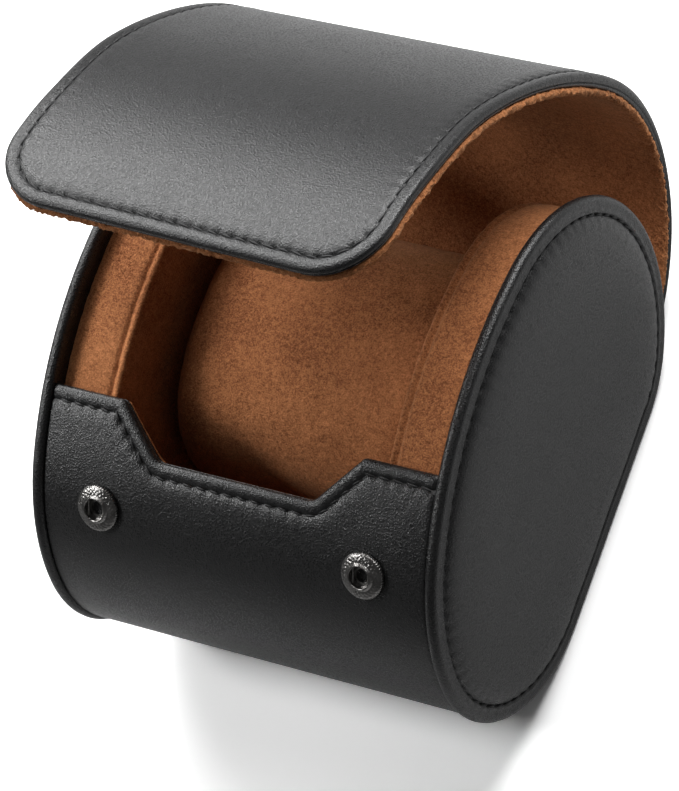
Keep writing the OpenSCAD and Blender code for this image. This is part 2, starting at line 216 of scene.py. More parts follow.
# Places along the path: the pocket's top edge, the lid's start and front edge, where the pocket's sheet
# meets the lid's, and the run over which the strip narrows at the hinge
marks = {"pocketAngle": 107.4, "lidProbe": 0.03, "join": 0.0095, "hingeFrom": (0.034, 0), "hingeTo": 0.006}
pocketS = nearestS(outlinePoint(marks["pocketAngle"], case["recess"]))
lidZeroS = nearestS(lidPoint(marks["lidProbe"])) - marks["lidProbe"]
frontS = lidZeroS + sum(length for _, length in lid["bends"])
joinS = lidZeroS + marks["join"]
hingeS = nearestS(marks["hingeFrom"]), lidZeroS + marks["hingeTo"]


def onPath(x, s, h):
    place, out = pathAt(s)
    return Vector((x, place[0] + out[0] * h, place[1] + out[1] * h))


# Helpers for modelling
def startClean():
    if bpy.context.object and bpy.context.object.mode != "OBJECT":
        bpy.ops.object.mode_set(mode="OBJECT")
    bpy.ops.object.select_all(action="DESELECT")


def makeActive(piece):
    startClean()
    piece.select_set(True)
    bpy.context.view_layer.objects.active = piece


def applyModifier(piece, kind, **settings):
    makeActive(piece)
    modifier = piece.modifiers.new(kind.title(), kind)
    for key, value in settings.items():
        setattr(modifier, key, value)
    bpy.ops.object.modifier_apply(modifier=modifier.name)


def faceOut(piece):
    makeActive(piece)
    bpy.ops.object.mode_set(mode="EDIT")
    bpy.ops.mesh.select_all(action="SELECT")
    bpy.ops.mesh.normals_make_consistent(inside=False)
    bpy.ops.object.mode_set(mode="OBJECT")


def smooth(piece, angle):
    makeActive(piece)
    bpy.ops.object.shade_smooth_by_angle(angle=math.radians(angle))


def ringPiece(name, loops, tube=False):
    # one ring of edges is extruded from loop to loop, and both ends are filled or, in a tube, joined
    count = len(loops[0])
    startClean()
    bpy.ops.mesh.primitive_circle_add(vertices=count, fill_type="NOTHING")
    piece = bpy.context.object
    piece.name = name
    bpy.ops.object.mode_set(mode="EDIT")
    bpy.ops.mesh.select_all(action="SELECT")
    mesh = bmesh.from_edit_mesh(piece.data)
    ring = list(range(count))
    for vert, place in zip(mesh.verts, loops[0]):
        vert.co = place
    bmesh.update_edit_mesh(piece.data)
    if not tube:
        bpy.ops.mesh.edge_face_add()
    for loop in loops[1:]:
        bpy.ops.mesh.extrude_edges_move()
        mesh = bmesh.from_edit_mesh(piece.data)
        mesh.verts.index_update()
        mesh.verts.ensure_lookup_table()
        known = len(mesh.verts) - count
        grown = []
        for k, index in enumerate(ring):
            vert = mesh.verts[index]
            new = next(e.other_vert(vert) for e in vert.link_edges if e.other_vert(vert).index >= known)
            new.co = loop[k]
            grown.append(new.index)
        ring = grown
        bmesh.update_edit_mesh(piece.data)
    if not tube:
        bpy.ops.mesh.edge_face_add()
    bpy.ops.mesh.select_all(action="SELECT")
    if tube:
        bpy.ops.mesh.remove_doubles(threshold=1e-6)
    bpy.ops.mesh.normals_make_consistent(inside=False)
    bpy.ops.object.mode_set(mode="OBJECT")
    return piece


def cutLines(piece, axis, places):
    # straight cuts across the flat piece, so that it can bend
    makeActive(piece)
    bpy.ops.object.mode_set(mode="EDIT")
    normal = [0, 0, 0]
    normal[axis] = 1
    for place in places:
        point = [0, 0, 0]
        point[axis] = place
        bpy.ops.mesh.select_all(action="SELECT")
        bpy.ops.mesh.bisect(plane_co=point, plane_no=normal)
    bpy.ops.object.mode_set(mode="OBJECT")


def trim(piece, axis, place, keepLow):
    makeActive(piece)
    bpy.ops.object.mode_set(mode="EDIT")
    bpy.ops.mesh.select_all(action="SELECT")
    point, normal = [0, 0, 0], [0, 0, 0]
    point[axis], normal[axis] = place, 1
    bpy.ops.mesh.bisect(plane_co=point, plane_no=normal, use_fill=True,
                        clear_outer=keepLow, clear_inner=not keepLow)
    bpy.ops.mesh.select_all(action="SELECT")
    bpy.ops.mesh.normals_make_consistent(inside=False)
    bpy.ops.object.mode_set(mode="OBJECT")


def spread(low, high, step):
    count = max(1, round((high - low) / step))
    return [low + (high - low) * k / count for k in range(1, count)]


def ease(low, high, value):
    t = min(1, max(0, (value - low) / (high - low)))
    return t * t * (3 - 2 * t)


def bend(piece, shape):
    for vert in piece.data.vertices:
        vert.co = onPath(*shape(*vert.co))
    faceOut(piece)


def roundedLoop(corners, radii, inset, spacings):
    # path of a flat outline, moved inwards; each corner and side keeps its own number of points
    count = len(corners)
    ways = [(corners[(i + 1) % count] - corners[i]).normalized() for i in range(count)]

    def moved(amount):
        places = []
        for i in range(count):
            before, after = ways[i - 1], ways[i]
            inBefore = Vector((-before[1], before[0]))
            inAfter = Vector((-after[1], after[0]))
            turn = crossOf(before, after)
            shift = (inAfter - inBefore) * amount
            places.append(corners[i] + inBefore * amount + before * (crossOf(shift, after) / turn))
        return places

    def arcEnds(places, rs):
        ends = []
        for i in range(count):
            turn = abs(math.atan2(crossOf(ways[i - 1], ways[i]), ways[i - 1].dot(ways[i])))
            ends.append(rs[i] * math.tan(turn / 2))
        return ends

    smallest = 0.0002
    turnsIn = [crossOf(ways[i - 1], ways[i]) > 0 for i in range(count)]
    rs = [max(smallest, r - inset) if inward else r + inset for r, inward in zip(radii, turnsIn)]
    places = moved(inset)
    reach = arcEnds(places, rs)
    baseReach = arcEnds(corners, radii)
    loop = []
    for i in range(count):
        before, after = ways[i - 1], ways[i]
        start = places[i] - before * reach[i]
        side = 1 if turnsIn[i] else -1
        centre = start + Vector((-before[1], before[0])) * rs[i] * side
        turn = math.atan2(crossOf(before, after), before.dot(after))
        steps = max(4, round(radii[i] * abs(turn) / min(spacings)))
        arm = start - centre
        for k in range(steps + 1):
            a = turn * k / steps
            loop.append(centre + Vector((arm[0] * math.cos(a) - arm[1] * math.sin(a),
                                         arm[0] * math.sin(a) + arm[1] * math.cos(a))))
        following = (i + 1) % count
        baseLength = (corners[following] - corners[i]).length - baseReach[i] - baseReach[following]
        low = places[i] + after * reach[i]
        high = places[following] - after * reach[following]
        sideSteps = max(1, round(baseLength / spacings[i]))
        for k in range(1, sideSteps):
            loop.append(low.lerp(high, k / sideSteps))
    return loop


def walk(loop):
    # length along a closed loop at each of its points, and the whole length
    lengths = [0.0]
    for a, b in zip(loop, loop[1:] + loop[:1]):
        lengths.append(lengths[-1] + (b - a).length)
    return lengths[:-1], lengths[-1]


def pucker(loop, pitch):
    # about 1 at each needle hole, uneven as in sewn leather, and 0 halfway between two holes
    lengths, whole = walk(loop)
    fitted = whole / round(whole / pitch)
    dents = []
    unevenness, drift, sharpness = 0.8, 0.7, 1.5
    for t in lengths:
        turns = t / fitted
        uneven = 1 + unevenness * noise.noise(Vector((turns * drift, 3.1, 0.7)))
        dents.append(uneven * (0.5 + 0.5 * math.cos(2 * math.pi * turns)) ** sharpness)
    return dents


def stitchPlaces(loop, pitch):
    # middle and direction of every stitch along a closed loop
    lengths, whole = walk(loop)
    count = round(whole / pitch)
    places = []
    k = 0
    for n in range(count):
        target = whole * (n + 0.5) / count
        while k + 1 < len(lengths) and lengths[k + 1] < target:
            k += 1
        a, b = loop[k], loop[(k + 1) % len(loop)]
        t = (target - lengths[k]) / max((b - a).length, 1e-9)
        places.append((a.lerp(b, t), (b - a).normalized()))
    return places


def joined(name, pieces):
    startClean()
    for piece in pieces:
        piece.select_set(True)
    bpy.context.view_layer.objects.active = pieces[0]
    bpy.ops.object.join()
    whole = bpy.context.object
    whole.name = name
    return whole


def copyOf(piece, name):
    twin = piece.copy()
    twin.data = piece.data.copy()
    twin.name = name
    bpy.context.collection.objects.link(twin)
    return twin


def delete(piece):
    startClean()
    piece.select_set(True)
    bpy.ops.object.delete()


# Materials
class Socket:
    # wraps a shader socket so that values are combined as expressions
    def __init__(self, shop, link):
        self.shop = shop
        self.link = link

    def maths(self, operation, *others):
        return self.shop.node("ShaderNodeMath", {"operation": operation}, {
            i: value for i, value in enumerate((self, *others))})

    def __add__(self, other):
        return self.maths("ADD", other)

    __radd__ = __add__

    def __mul__(self, other):
        return self.maths("MULTIPLY", other)

    __rmul__ = __mul__

    def __sub__(self, other):
        return self.maths("SUBTRACT", other)

    def __rsub__(self, other):
        return self.shop.node("ShaderNodeMath", {"operation": "SUBTRACT"}, {0: other, 1: self})

    def clamp(self):
        return self.shop.node("ShaderNodeClamp", {}, {"Value": self})


class Shop:
    # one material with its Principled shader
    def __init__(self, name):
        self.material = bpy.data.materials.new(name)
        self.material.use_nodes = True
        self.tree = self.material.node_tree
        self.shader = self.tree.nodes["Principled BSDF"]
        self.object = Socket(self, self.tree.nodes.new("ShaderNodeTexCoord").outputs["Object"])

    def node(self, kind, settings, values, output=0):
        made = self.tree.nodes.new(kind)
        for key, value in settings.items():
            setattr(made, key, value)
        for key, value in values.items():
            self.feed(made.inputs[key], value)
        return Socket(self, made.outputs[output])

    def feed(self, socket, value):
        if isinstance(value, Socket):
            self.tree.links.new(value.link, socket)
        elif isinstance(value, tuple) and len(value) == 3 and socket.type == "RGBA":
            socket.default_value = (*value, 1)
        else:
            socket.default_value = value

    def set(self, **values):
        for key, value in values.items():
            self.feed(self.shader.inputs[key.replace("_", " ")], value)

    def noise(self, scale, detail=3.0, rough=0.5):
        return self.node("ShaderNodeTexNoise", {}, {
            "Vector": self.object, "Scale": scale, "Detail": detail, "Roughness": rough})

    def warped(self, scale, amount):
        # object coordinates pushed about by soft noise
        kind = "ShaderNodeVectorMath"
        values = {"Vector": self.object, "Scale": scale, "Detail": 2.0}
        push = self.node("ShaderNodeTexNoise", {}, values, 1)
        middled = self.node(kind, {"operation": "SUBTRACT"}, {0: push, 1: (0.5, 0.5, 0.5)})
        scaled = self.node(kind, {"operation": "SCALE"}, {0: middled, "Scale": amount})
        return self.node(kind, {"operation": "ADD"}, {0: self.object, 1: scaled})

    def mix(self, factor, low, high):
        return self.node("ShaderNodeMix", {"data_type": "RGBA"}, {0: factor, 6: low, 7: high}, 2)

    def bump(self, height, distance, strength=1.0, under=None):
        values = {"Height": height, "Distance": distance, "Strength": strength}
        if under:
            values["Normal"] = under
        return self.node("ShaderNodeBump", {}, values)


def leatherFinish():
    # pebble grain: bent cells with fine creases, on a surface with slow waves
    look = {"dark": (0.0062, 0.0062, 0.0065), "light": (0.0105, 0.0105, 0.0109), "specular": 0.52,
            "grain": 2600, "smoothness": 0.5, "warpScale": 1300, "warp": 0.0002, "creases": 4200,
            "waves": 150, "patches": 28, "cellHeight": 0.65, "creaseHeight": 0.6, "relief": 0.00014,
            "strength": 0.85, "waveRelief": 0.0003, "waveStrength": 0.1,
            "roughness": 0.3, "waveRoughness": 0.1, "cellRoughness": 0.5}
    shop = Shop("blackLeather")
    bent = shop.warped(look["warpScale"], look["warp"])
    cells = shop.node("ShaderNodeTexVoronoi", {"feature": "SMOOTH_F1"}, {
        "Vector": bent, "Scale": look["grain"], "Smoothness": look["smoothness"]})
    creases = shop.noise(look["creases"], 2.0, 0.6)
    waves = shop.noise(look["waves"])
    patches = shop.noise(look["patches"], 4.0)
    height = (1 - cells) * look["cellHeight"] + creases * look["creaseHeight"]
    slow = shop.bump(waves, look["waveRelief"], look["waveStrength"])
    polish = look["roughness"] + look["waveRoughness"] * (waves - 0.5)
    shop.set(
        Base_Color=shop.mix(patches, look["dark"], look["light"]),
        Roughness=polish + look["cellRoughness"] * (cells - 0.4),
        Normal=shop.bump(height, look["relief"], look["strength"], slow),
        Specular_IOR_Level=look["specular"],
    )
    return shop.material


def suedeFinish():
    look = {"deep": (0.15, 0.048, 0.017), "lit": (0.6, 0.245, 0.1), "sheen": (1.0, 0.62, 0.34),
            "nap": 2900, "tuft": 1000, "brushed": 45, "napShade": 1.7, "tuftShade": 1.1, "brushedShade": 1.1,
            "middle": 0.45, "height": 0.7, "relief": 0.0004, "strength": 0.8, "roughness": 0.9,
            "brushedRoughness": 0.08, "specular": 0.12, "sheenWeight": 0.35, "sheenRoughness": 0.45}
    shop = Shop("brownSuede")
    nap = shop.noise(look["nap"], 2.0, 0.6)
    tufts = shop.noise(look["tuft"], 4.0, 0.65)
    brushed = shop.noise(look["brushed"], 4.0, 0.6)
    shade = (nap - 0.5) * look["napShade"] + (tufts - 0.5) * look["tuftShade"]
    shade = shade + (brushed - 0.5) * look["brushedShade"] + look["middle"]
    shop.set(
        Base_Color=shop.mix(shade.clamp(), look["deep"], look["lit"]),
        Roughness=look["roughness"] + look["brushedRoughness"] * brushed,
        Normal=shop.bump(nap * look["height"] + tufts * look["height"], look["relief"], look["strength"]),
        Specular_IOR_Level=look["specular"],
        Sheen_Weight=look["sheenWeight"],
        Sheen_Roughness=look["sheenRoughness"],
        Sheen_Tint=look["sheen"],
    )
    return shop.material


def threadFinish():
    look = {"dark": (0.004, 0.004, 0.004), "light": (0.012, 0.012, 0.013), "twist": 2600,
            "roughness": 0.5, "twistRoughness": 0.2, "relief": 0.0001, "strength": 0.6}
    shop = Shop("blackThread")
    twist = shop.noise(look["twist"], 2.0)
    shop.set(
        Base_Color=shop.mix(twist, look["dark"], look["light"]),
        Roughness=look["roughness"] + look["twistRoughness"] * twist,
        Normal=shop.bump(twist, look["relief"], look["strength"]),
    )
    return shop.material


def gunmetalFinish():
    look = {"dark": (0.05, 0.048, 0.046), "worn": (0.36, 0.35, 0.34), "wear": 520, "pits": 2400,
            "roughness": 0.18, "wornRoughness": 0.22, "relief": 0.00014, "strength": 0.7}
    shop = Shop("gunmetal")
    wear = shop.noise(look["wear"], 4.0, 0.6)
    pits = shop.noise(look["pits"], 2.0)
    shop.set(
        Base_Color=shop.mix(wear, look["dark"], look["worn"]),
        Roughness=look["roughness"] + look["wornRoughness"] * wear,
        Metallic=1.0,
        Normal=shop.bump(pits + wear, look["relief"], look["strength"]),
    )
    return shop.material


def steelFinish():
    look = {"dark": (0.3, 0.29, 0.28), "light": (0.5, 0.49, 0.47), "streaks": 900,
            "roughness": 0.24, "streakRoughness": 0.15}
    shop = Shop("springSteel")
    streaks = shop.noise(look["streaks"], 2.0)
    shop.set(
        Base_Color=shop.mix(streaks, look["dark"], look["light"]),
        Roughness=look["roughness"] + look["streakRoughness"] * streaks,
        Metallic=1.0,
    )
    return shop.material


def fillingFinish(name, dark, light, scale):
    shop = Shop(name)
    fibres = shop.noise(scale, 4.0, 0.6)
    shop.set(
        Base_Color=shop.mix(fibres, dark, light),
        Roughness=0.85 + 0.1 * fibres,
        Normal=shop.bump(fibres, 0.0004, 0.5),
    )
    return shop.material


finishes = {
    "leather": leatherFinish(),
    "suede": suedeFinish(),
    "thread": threadFinish(),
    "gunmetal": gunmetalFinish(),
    "spring_steel": steelFinish(),
    "foam": fillingFinish("paleFoam", (0.52, 0.48, 0.4), (0.66, 0.62, 0.54), 600),
    "board": fillingFinish("greyBoard", (0.2, 0.17, 0.14), (0.28, 0.25, 0.21), 300),
}


def dress(piece, finish):
    piece.data.materials.clear()
    piece.data.materials.append(finishes[finish])


for part in frame["record"]["subparts"]:
    node = bpy.data.objects[part["node"]]
    node.data.materials.clear()
    node.data.materials.append(finishes[part["material_slot"]])
print("finishes ready")

# Leather strip and lining, made flat and bent along the side path
pocket = {"notchDepth": 0.011, "mouthHalf": 0.0288, "bottomHalf": 0.0187, "mouthR": 0.0018, "lowR": 0.003,
          "skin": 0.0025, "lining": 0.0008, "liningInset": 0.0003, "fuzz": 0.0001,
          "past": 0.008, "sideR": 0.0012, "sideDrop": 0.00045, "sideDeep": -0.0008}
seam = {"pitch": 0.0033, "inset": 0.0031, "thread": 0.00027, "reach": 0.43, "flattened": 0.9,
        "bow": 0.00025, "sink": 0.00022, "slant": 0.16, "slantChange": 0.14, "crease": 60,
        "pocketRun": 0.02, "lidMargin": 0.002, "sideMargin": 0.001}
# Spacing of points along a stitched and a plain edge, overlap of the two sheets before they are cut to
# meet, sharpest corner, cuts along and across the strip and beside its sides, how deep its edge goes and
# the angle of a crease
grid = {"fine": 0.00048, "plain": 0.003, "overlap": 0.012, "corner": 0.0005, "alongCuts": 0.0024,
        "acrossCuts": 0.009, "sideCuts": (0.0001, 0.0003, 0.0006, 0.0012), "edgeDepth": 0.001, "crease": 50}


def stripCorners(kind):
    # corners, their radii and the spacing of points on the side after each corner
    fine, plain, corner = grid["fine"], grid["plain"], grid["corner"]
    if kind == "pocket":
        w = case["stripHalf"] + pocket["past"]
        top, deep, far = pocketS, pocketS + pocket["notchDepth"], joinS + grid["overlap"]
        mouth, low = pocket["mouthHalf"], pocket["bottomHalf"]
        places = [(-w, top), (-mouth, top), (-low, deep), (low, deep),
                  (mouth, top), (w, top), (w, far), (-w, far)]
        r, lowR = pocket["mouthR"], pocket["lowR"]
        radii = [corner, r, lowR, lowR, r, corner, corner, corner]
        spacings = [fine] * 5 + [plain] * 3
    else:
        w = lid["half"]
        low = joinS - grid["overlap"]
        places = [(-w, low), (w, low), (w, frontS), (-w, frontS)]
        radii = [corner, corner, lid["cornerR"], lid["cornerR"]]
        spacings = [plain] + [fine] * 3
    return [Vector(p) for p in places], radii, spacings


def narrowed(x, share):
    return x * (1 - share * (1 - lid["half"] / case["stripHalf"]))


def pocketShape(x, s, h):
    # narrows to the lid's width over the hinge; the cut sides are rounded over
    share = ease(*hingeS, s)
    side = (abs(x) - case["stripHalf"] + pocket["sideR"]) / pocket["sideR"]
    if h > pocket["sideDeep"] and side > 0:
        h -= pocket["sideDrop"] * (1 - math.sqrt(1 - min(1, side) ** 2))
    h *= 1 - share * (1 - lid["skin"] / pocket["skin"])
    return narrowed(x, share), s, h


def pocketLiningShape(x, s, h):
    share = ease(*hingeS, s)
    depth = (-pocket["skin"] - h) / pocket["lining"]
    lidH = -lid["skin"] - lid["lining"] * depth
    return narrowed(x, share), s, h + share * (lidH - h)


def lidShape(x, s, h):
    along = s - lidZeroS
    lean = lid["leanBack"] * ease(*lid["leanBackRun"], along)
    lean += lid["leanFront"] * ease(*lid["leanFrontRun"], along)
    across = (x / lid["half"] + 1) / 2
    reach = lid["reachLeft"] + (lid["reachRight"] - lid["reachLeft"]) * across
    full = lid["fullness"] * ease(*lid["riseRun"], along) * (1 - ease(*lid["fallRun"], along))
    inside = min(1, max(0, 1 + h / lid["skin"]))
    further = reach * max(0, (along - lid["reachFrom"]) / lid["reachRun"])
    return x + lean, s + further, h + full * inside


def frayed(place, fuzz):
    # a napped edge is uneven at two sizes
    coarse, fine, fineShare = 1300, 3100, 0.6
    wide = noise.noise_vector(place * coarse) * fuzz
    return place + (wide + noise.noise_vector(place * fine) * fuzz * fineShare)


def sheet(kind, name, profile, shape, inset=0.0, puckered=True, fuzz=0.0):
    corners, radii, spacings = stripCorners(kind)
    dents = None
    if puckered:
        dents = pucker(roundedLoop(corners, radii, seam["inset"] + inset, spacings), seam["pitch"])
    loops = []
    for depth, height, dent in profile:
        loop = []
        for k, p in enumerate(roundedLoop(corners, radii, depth + inset, spacings)):
            place = Vector((p[0], p[1], height - (dent * dents[k] if dents else 0)))
            loop.append(frayed(place, fuzz) if fuzz and depth < grid["edgeDepth"] else place)
        loops.append(loop)
    piece = ringPiece(name, loops)
    low, high = min(c[1] for c in corners), max(c[1] for c in corners)
    trim(piece, 1, joinS, keepLow=kind == "pocket")
    half = lid["half"]
    sideCuts = []
    if kind == "pocket":
        high = joinS
        half = case["stripHalf"] - inset
        trim(piece, 0, half, keepLow=True)
        trim(piece, 0, -half, keepLow=False)
        sideCuts = [side * (half - cut) for side in (1, -1) for cut in grid["sideCuts"]]
    else:
        low = joinS
    cutLines(piece, 1, spread(low, high, grid["alongCuts"]))
    cutLines(piece, 0, spread(-half, half, grid["acrossCuts"]) + sideCuts)
    bend(piece, shape)
    smooth(piece, grid["crease"])
    return piece


def leatherProfile(thick):
    # distance in from the edge, height over the skin, and how much the seam's pucker dips it
    edge = [(0.0030, -thick, 0), (0.0008, -thick, 0), (0.0003, 0.0001 - thick, 0),
            (0.00008, 0.0004 - thick, 0), (0.00005, -0.00162, 0), (0.00028, -0.00145, 0),
            (0.00006, -0.00128, 0), (0, -0.0009, 0), (0.00012, -0.00058, 0), (0.00032, -0.0003, 0),
            (0.0006, -0.00012, 0), (0.00095, -0.00002, 0), (0.0013, 0.00003, 0)]
    groove = [(0.0017, 0.00003, 0.00002), (0.0022, -0.00003, 0.00005), (0.0026, -0.00011, 0.0001),
              (0.0029, -0.00026, 0.00016), (0.0031, -0.00038, 0.00019), (0.0033, -0.00026, 0.00017),
              (0.0036, -0.0001, 0.00013), (0.004, 0, 0.0001), (0.0048, 0.00007, 0.00005),
              (0.006, 0.00007, 0.00002), (0.0085, 0, 0)]
    return edge + groove


def liningProfile(top, thick):
    return [(d, h - top, 0) for d, h in (
        (0.003, -thick), (0.0009, -thick), (0.0004, 0.0001 - thick), (0.0001, 0.0004 - thick),
        (0, -thick * 0.55), (0.0001, -thick * 0.28), (0.0004, -0.0001), (0.0009, 0), (0.003, 0))]


def rough(piece, amount, scale, seedPlace):
    # small unevenness of a napped surface
    for vert in piece.data.vertices:
        push = noise.noise((vert.co + seedPlace) * scale) * amount
        vert.co += vert.normal * push


print("strip: leather")
pocketSkin = sheet("pocket", "pocketSkin", leatherProfile(pocket["skin"]), pocketShape)
lidSkin = sheet("lid", "lidSkin", leatherProfile(lid["skin"]), lidShape)
dress(pocketSkin, "leather")
dress(lidSkin, "leather")

print("strip: lining")
pocketLining = sheet(
    "pocket", "pocketSuede", liningProfile(pocket["skin"], pocket["lining"]), pocketLiningShape,
    inset=pocket["liningInset"], puckered=False, fuzz=pocket["fuzz"])
lidLining = sheet(
    "lid", "lidSuede", liningProfile(lid["skin"], lid["lining"]), lidShape,
    inset=-lid["liningProud"], puckered=False, fuzz=lid["fuzz"])
dress(pocketLining, "suede")
dress(lidLining, "suede")


def stitchLine(name, loop, place, keeps=None):
    # one stitch is modelled and copied from hole to hole; place puts a flat seam's point on its piece
    startClean()
    bpy.ops.mesh.primitive_uv_sphere_add(segments=8, ring_count=6, radius=1)
    template = bpy.context.object
    stitches = []
    for n, (middle, way) in enumerate(stitchPlaces(loop, seam["pitch"])):
        slant = seam["slant"] + seam["slantChange"] * noise.noise(Vector((n * 0.9, 0.4, 1.7)))
        way = Vector((way[0] - way[1] * slant, way[1] + way[0] * slant)).normalized()
        across = Vector((-way[1], way[0]))
        if keeps and not keeps(middle):
            continue
        stitch = copyOf(template, name)
        for vert in stitch.data.vertices:
            along, aside, up = vert.co
            flat = middle + way * along * seam["pitch"] * seam["reach"] + across * aside * seam["thread"]
            vert.co = place(flat, up * seam["thread"] * seam["flattened"] - seam["bow"] * along * along)
        stitches.append(stitch)
    delete(template)
    whole = joined(name, stitches)
    smooth(whole, seam["crease"])
    dress(whole, "thread")
    return whole


def threadAlong(name, kind, shape):
    corners, radii, spacings = stripCorners(kind)
    half = case["stripHalf"] if kind == "pocket" else lid["half"]

    def keeps(flat):
        # the pocket is sewn along its notched edge only, and the lid from the sheets' join on
        if kind == "pocket":
            beyondEnd = flat[1] > pocketS + seam["pocketRun"]
        else:
            beyondEnd = flat[1] < joinS + seam["lidMargin"]
        return not beyondEnd and abs(flat[0]) < half - seam["sideMargin"]

    def place(flat, up):
        return onPath(*shape(flat[0], flat[1], up - seam["sink"]))

    return stitchLine(name, roundedLoop(corners, radii, seam["inset"], spacings), place, keeps)


print("strip: thread")
pocketThread = threadAlong("pocketThread", "pocket", pocketShape)
lidThread = threadAlong("lidThread", "lid", lidShape)

for piece in (pocketSkin, pocketLining):
    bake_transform(piece)
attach(pocketThread, "case")
flexMiddle, flexOut = pathAt(lidZeroS + flex["at"])
flexWay = Vector((-flexOut[1], flexOut[0]))
flexStart = flexMiddle - flexWay * flex["reach"]
flexEnd = flexMiddle + flexWay * flex["reach"]
for piece in (lidSkin, lidLining, lidThread):
    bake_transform(piece)
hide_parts("pocket_leather", "pocket_board", "hinge_leather")
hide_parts("pocket_lining", "hinge_lining")
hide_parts("lid_back_leather", "lid_front_leather", "lid_back_board", "lid_front_board",
            "flex_leather")
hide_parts("lid_back_lining", "lid_front_lining", "flex_lining")

# Cheeks: flange, padded face and the suede band that turns in to the pillow's space
cheek = {
    "inner": case["halfWidth"] - case["flange"],
    # distance in from the outline, distance out from the flange's inner face, and the seam's pucker
    "profile": ((0.0036, 0.0, 0), (0.0014, 0.0, 0), (0.0006, 0.00012, 0), (0.00018, 0.00055, 0),
                (0, 0.0012, 0), (0.00008, 0.0018, 0), (0.00035, 0.00232, 0), (0.0008, 0.00264, 0),
                (0.0013, 0.00272, 0),
                (0.0019, 0.00266, 0.00002), (0.0025, 0.00264, 0.00005), (0.0029, 0.00272, 0.00008),
                (0.0032, 0.00278, 0.00006), (0.0035, 0.0026, 0.0001), (0.00375, 0.00228, 0.00016),
                (0.0040, 0.0025, 0.00018), (0.0043, 0.00282, 0.00016), (0.0048, 0.00315, 0.00012),
                (0.0056, 0.0035, 0.00007), (0.0066, 0.00374, 0.00003), (0.008, 0.00394, 0.00001),
                (0.0105, 0.00416, 0), (0.0145, 0.00435, 0), (0.0195, 0.0044, 0)),
    "seam": 0.00375,
    "seamOut": 0.0025,
    "points": 900,
}
suede = {
    "start": 0.0034,
    # distance further in, and distance out from the pillow's space
    "profile": ((0.018, 0), (0.006, 0), (0.0022, 0.00002), (0.0009, 0.00012), (0.0003, 0.0004),
                (0.00003, 0.0008), (0, 0.00112), (0.00016, 0.00146), (0.00046, 0.00176), (0.00052, 0.002),
                (0.0004, 0.00224), (0.00004, 0.0026), (-0.0001, 0.003), (-0.0002, 0.0042),
                (-0.00022, 0.0065), (-0.0002, 0.0095), (-0.0001, 0.012), (0.0001, 0.0134),
                (0.0004, 0.01378), (0.004, 0.01378)),
    "points": 600,
    "nap": (0.00012, 700),
}


def cheekPiece(side, name):
    base = outlineLoop(cheek["seam"], 0, cheek["points"])
    dents = pucker([Vector((p[1], p[2])) for p in base], seam["pitch"])
    loops = []
    for depth, out, dent in cheek["profile"]:
        loop = outlineLoop(depth, 0, cheek["points"])
        for k, place in enumerate(loop):
            place[0] = side * (cheek["inner"] + out - dent * dents[k])
        loops.append(loop)
    piece = ringPiece(name, loops)
    smooth(piece, grid["crease"])
    dress(piece, "leather")
    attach(piece, "case")
    return piece


def suedePiece(side, name):
    loops = []
    for depth, out in suede["profile"]:
        x = side * (case["insideHalf"] + out)
        loops.append(outlineLoop(suede["start"] + depth, x, suede["points"], strip=True))
    piece = ringPiece(name, loops)
    rough(piece, *suede["nap"], Vector((0.2, 0.4, 0.1)))
    smooth(piece, grid["crease"])
    dress(piece, "suede")
    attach(piece, "case")
    return piece


def cheekThread(side, name):
    base = outlineLoop(cheek["seam"], 0, cheek["points"])

    def place(flat, up):
        return Vector((side * (cheek["inner"] + cheek["seamOut"] + up), flat[0], flat[1]))

    whole = stitchLine(name, [Vector((p[1], p[2])) for p in base], place)
    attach(whole, "case")


print("cheeks")
for side, word in ((1, "right"), (-1, "left")):
    skin = cheekPiece(side, word + "CheekLeather")
    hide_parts(word + "_face", word + "_rim", word + "_face_pad")
    band = suedePiece(side, word + "CheekSuede")
    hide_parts(word + "_gusset", word + "_inner")
    cheekThread(side, word + "CheekThread")

# Pillow: a filled suede roll
pillow = {"y": 0.009, "z": 0.0317, "depth": 0.062, "height": 0.056, "half": 0.032, "end": 0.005,
          "power": 2.4, "points": 72, "endRings": 8, "voxel": 0.003, "swell": 0.0016, "cap": 0.0018,
          "pressure": 4, "frames": 20, "nap": (0.0002, 260), "crease": 60}


def pillowLoop(x, inset):
    loop = []
    for k in range(pillow["points"]):
        a = math.radians(360 * k / pillow["points"])
        c, s = math.cos(a), math.sin(a)
        y = (pillow["depth"] / 2 - inset) * math.copysign(abs(c) ** (2 / pillow["power"]), c)
        z = (pillow["height"] / 2 - inset) * math.copysign(abs(s) ** (2 / pillow["power"]), s)
        loop.append(Vector((x, pillow["y"] + y, pillow["z"] + z)))
    return loop


def pillowPiece():
    loops = []
    half = pillow["half"] - pillow["swell"]
    rings = pillow["endRings"]
    for k in range(-rings, rings + 1):
        a = math.radians(90 * k / rings)
        inset = pillow["swell"] + pillow["end"] * (1 - math.cos(a))
        x = math.copysign(half - pillow["end"] * (1 - abs(math.sin(a))), math.sin(a)) if k else 0
        loops.append(pillowLoop(x, inset))
    piece = ringPiece("pillowSuede", loops)
    applyModifier(piece, "REMESH", mode="VOXEL", voxel_size=pillow["voxel"])
    puff(piece)
    applyModifier(piece, "SUBSURF", levels=1, render_levels=1)
    rough(piece, *pillow["nap"], Vector((0.5, 0.2, 0.7)))
    smooth(piece, pillow["crease"])
    dress(piece, "suede")
    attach(piece, "pillow")
    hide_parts("pillow_cover", "pillow_core")


